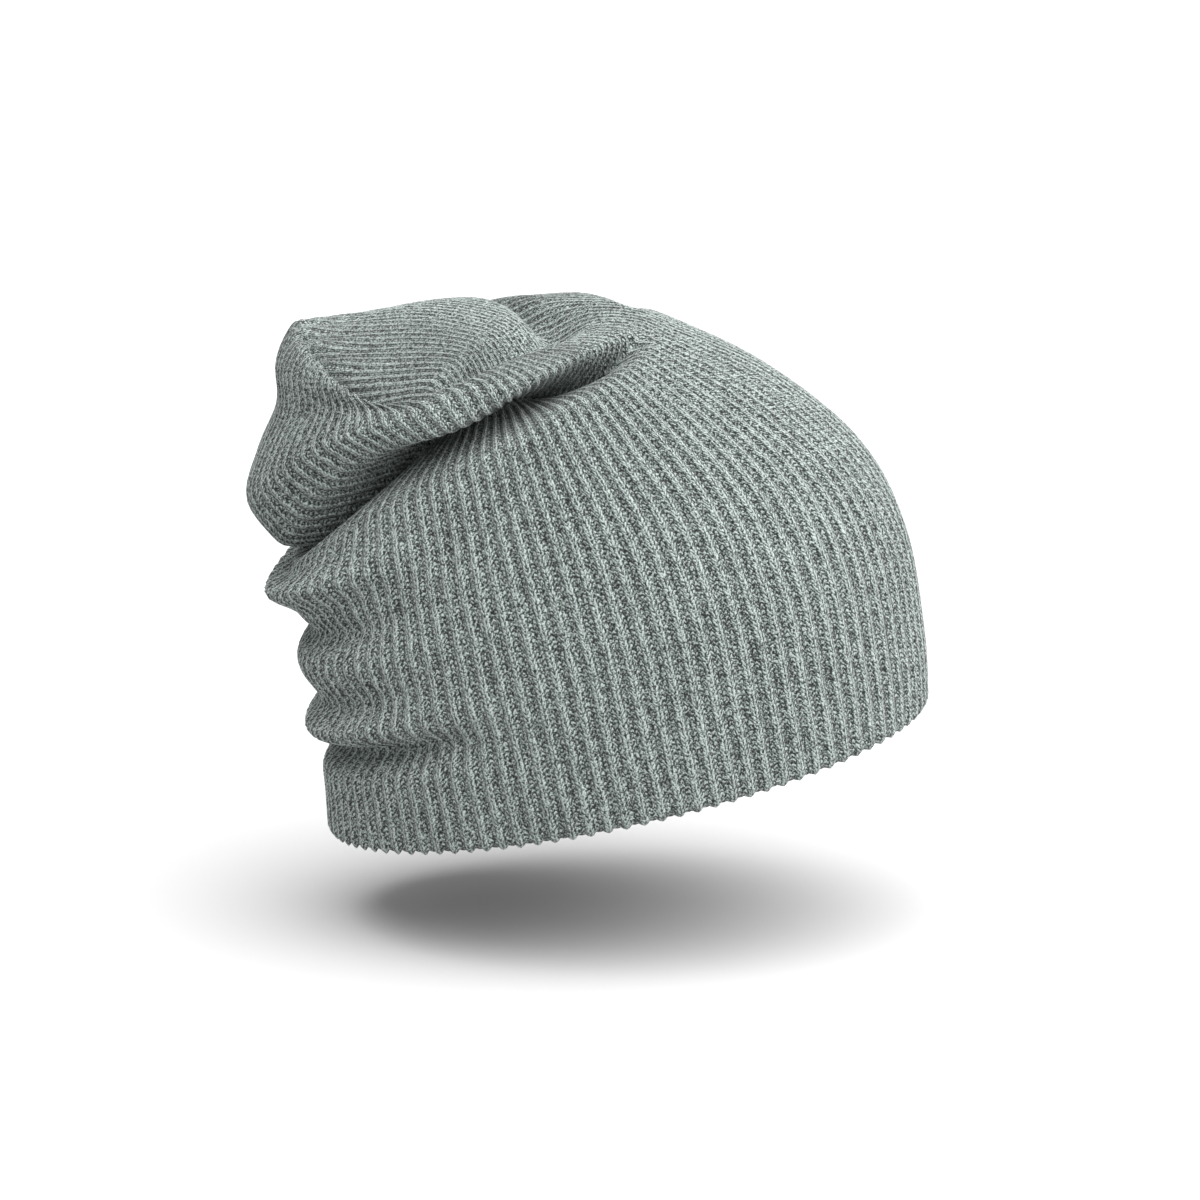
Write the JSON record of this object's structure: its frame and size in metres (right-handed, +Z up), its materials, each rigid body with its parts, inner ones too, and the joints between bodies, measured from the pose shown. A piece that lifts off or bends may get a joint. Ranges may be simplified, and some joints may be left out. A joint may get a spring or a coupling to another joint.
{
  "type": "slouchy beanie",
  "caption": "Long rib-knit beanie in heathered grey, shown as worn: top rolled over at the back, soft folds at the nape and a gathered crown",
  "frame": {"origin": "middle of the rim opening, where the hat sits on a head", "axes": "+X toward the forehead, +Y toward the left ear, +Z up as worn"},
  "size_m": [0.2251, 0.1674, 0.1743],
  "materials": {
    "rib_knit": "heathered acrylic rib knit, matt"
  },
  "bodies": {
    "root": {"knit_shell": "rib_knit"}
  },
  "joints": []
}
